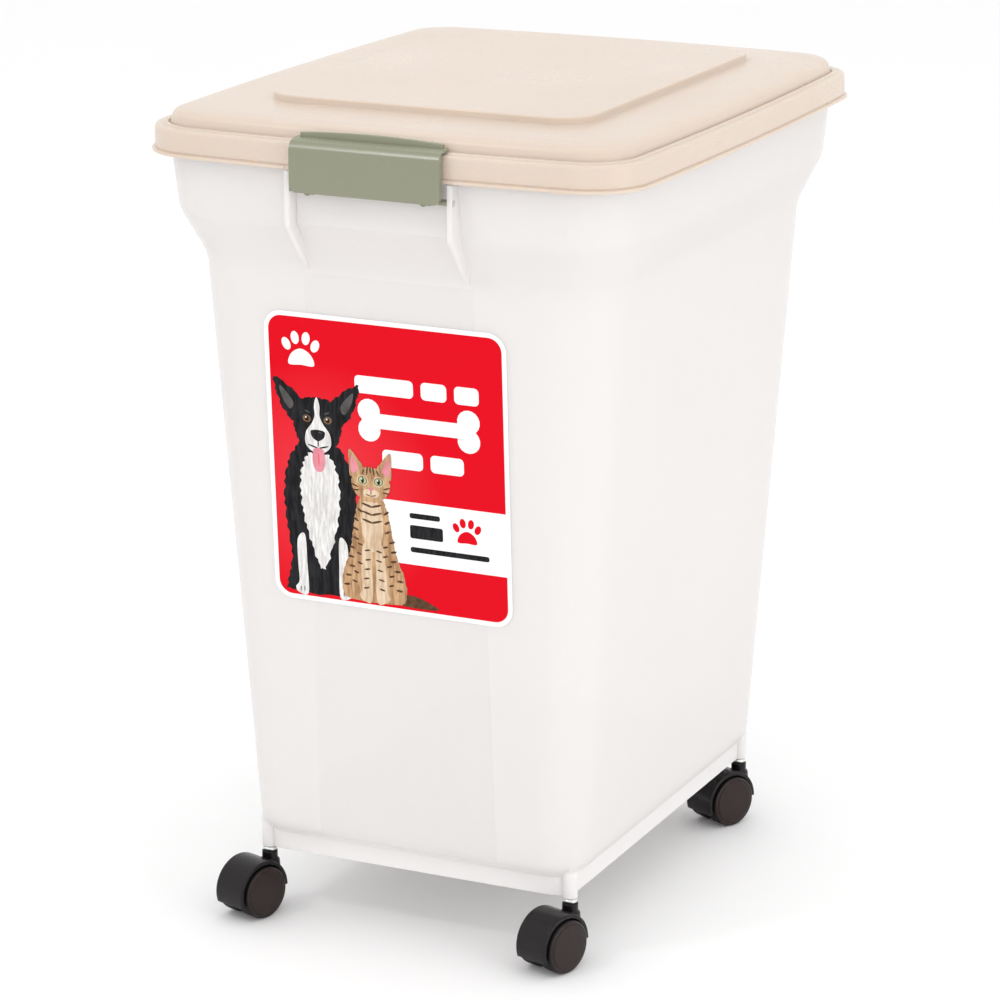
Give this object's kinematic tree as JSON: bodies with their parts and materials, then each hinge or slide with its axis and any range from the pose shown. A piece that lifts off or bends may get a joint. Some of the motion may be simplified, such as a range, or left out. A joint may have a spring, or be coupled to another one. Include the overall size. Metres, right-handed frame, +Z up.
{
  "type": "pet food storage bin",
  "caption": "Tall tapered airtight pet food bin with a hinged gasketed lid, a front snap latch and swivel twin-wheel casters.",
  "frame": {"origin": "middle of the bin's footprint at floor level, where the wheels stand", "axes": "+Z up, -Y towards the latch at the front, +X to the right seen from the front"},
  "size_m": [0.389, 0.482, 0.617],
  "materials": {
    "tub": "translucent natural polypropylene, fine matt, with a clear polished band down the front",
    "lid": "almond moulded polypropylene, low gloss",
    "gasket": "soft translucent silicone",
    "latch": "sage green moulded polypropylene, satin",
    "label": "printed film, red with a white border, semi-gloss",
    "caster_housing": "charcoal nylon, satin",
    "caster_wheel": "charcoal nylon, fine matt",
    "zinc": "bright zinc plate"
  },
  "bodies": {
    "bin": {"bin_body": "tub", "label": "label", "hinge_pin_left": "zinc", "hinge_pin_right": "zinc", "stem_front_left": "zinc", "stem_front_right": "zinc", "stem_rear_left": "zinc", "stem_rear_right": "zinc"},
    "lid": {"lid": "lid", "lid_gasket": "gasket"},
    "latch": {"latch": "latch"},
    "caster_front_left": {"housing_front_left": "caster_housing", "axle_front_left": "zinc"},
    "wheel_front_left_left": {"wheel_front_left_left": "caster_wheel"},
    "wheel_front_left_right": {"wheel_front_left_right": "caster_wheel"},
    "caster_front_right": {"housing_front_right": "caster_housing", "axle_front_right": "zinc"},
    "wheel_front_right_left": {"wheel_front_right_left": "caster_wheel"},
    "wheel_front_right_right": {"wheel_front_right_right": "caster_wheel"},
    "caster_rear_left": {"housing_rear_left": "caster_housing", "axle_rear_left": "zinc"},
    "wheel_rear_left_left": {"wheel_rear_left_left": "caster_wheel"},
    "wheel_rear_left_right": {"wheel_rear_left_right": "caster_wheel"},
    "caster_rear_right": {"housing_rear_right": "caster_housing", "axle_rear_right": "zinc"},
    "wheel_rear_right_left": {"wheel_rear_right_left": "caster_wheel"},
    "wheel_rear_right_right": {"wheel_rear_right_right": "caster_wheel"}
  },
  "joints": [
    {"name": "lid_hinge", "type": "hinge", "parent": "bin", "child": "lid", "pos_m": [0, 0.237, 0.574], "axis": [-1, 0, 0], "range_deg": [0, 105]},
    {"name": "latch_hinge", "type": "hinge", "parent": "bin", "child": "latch", "pos_m": [0, -0.232, 0.5675], "axis": [1, 0, 0], "range_deg": [0, 110]},
    {"name": "swivel_front_left", "type": "hinge", "parent": "bin", "child": "caster_front_left", "pos_m": [-0.1235, -0.1645, 0.045], "axis": [0, 0, 1], "continuous": true},
    {"name": "spin_front_left_left", "type": "hinge", "parent": "caster_front_left", "child": "wheel_front_left_left", "pos_m": [-0.12937, -0.18257, 0.02], "axis": [0.9511, -0.309, 0], "continuous": true},
    {"name": "spin_front_left_right", "type": "hinge", "parent": "caster_front_left", "child": "wheel_front_left_right", "pos_m": [-0.12937, -0.18257, 0.02], "axis": [0.9511, -0.309, 0], "continuous": true},
    {"name": "swivel_front_right", "type": "hinge", "parent": "bin", "child": "caster_front_right", "pos_m": [0.1235, -0.1645, 0.045], "axis": [0, 0, 1], "continuous": true},
    {"name": "spin_front_right_left", "type": "hinge", "parent": "caster_front_right", "child": "wheel_front_right_left", "pos_m": [0.11763, -0.18257, 0.02], "axis": [0.9511, -0.309, 0], "continuous": true},
    {"name": "spin_front_right_right", "type": "hinge", "parent": "caster_front_right", "child": "wheel_front_right_right", "pos_m": [0.11763, -0.18257, 0.02], "axis": [0.9511, -0.309, 0], "continuous": true},
    {"name": "swivel_rear_left", "type": "hinge", "parent": "bin", "child": "caster_rear_left", "pos_m": [-0.1235, 0.1645, 0.045], "axis": [0, 0, 1], "continuous": true},
    {"name": "spin_rear_left_left", "type": "hinge", "parent": "caster_rear_left", "child": "wheel_rear_left_left", "pos_m": [-0.13062, 0.14688, 0.02], "axis": [0.9272, -0.3746, 0], "continuous": true},
    {"name": "spin_rear_left_right", "type": "hinge", "parent": "caster_rear_left", "child": "wheel_rear_left_right", "pos_m": [-0.13062, 0.14688, 0.02], "axis": [0.9272, -0.3746, 0], "continuous": true},
    {"name": "swivel_rear_right", "type": "hinge", "parent": "bin", "child": "caster_rear_right", "pos_m": [0.1235, 0.1645, 0.045], "axis": [0, 0, 1], "continuous": true},
    {"name": "spin_rear_right_left", "type": "hinge", "parent": "caster_rear_right", "child": "wheel_rear_right_left", "pos_m": [0.11517, 0.14742, 0.02], "axis": [0.8988, -0.4384, 0], "continuous": true},
    {"name": "spin_rear_right_right", "type": "hinge", "parent": "caster_rear_right", "child": "wheel_rear_right_right", "pos_m": [0.11517, 0.14742, 0.02], "axis": [0.8988, -0.4384, 0], "continuous": true}
  ]
}
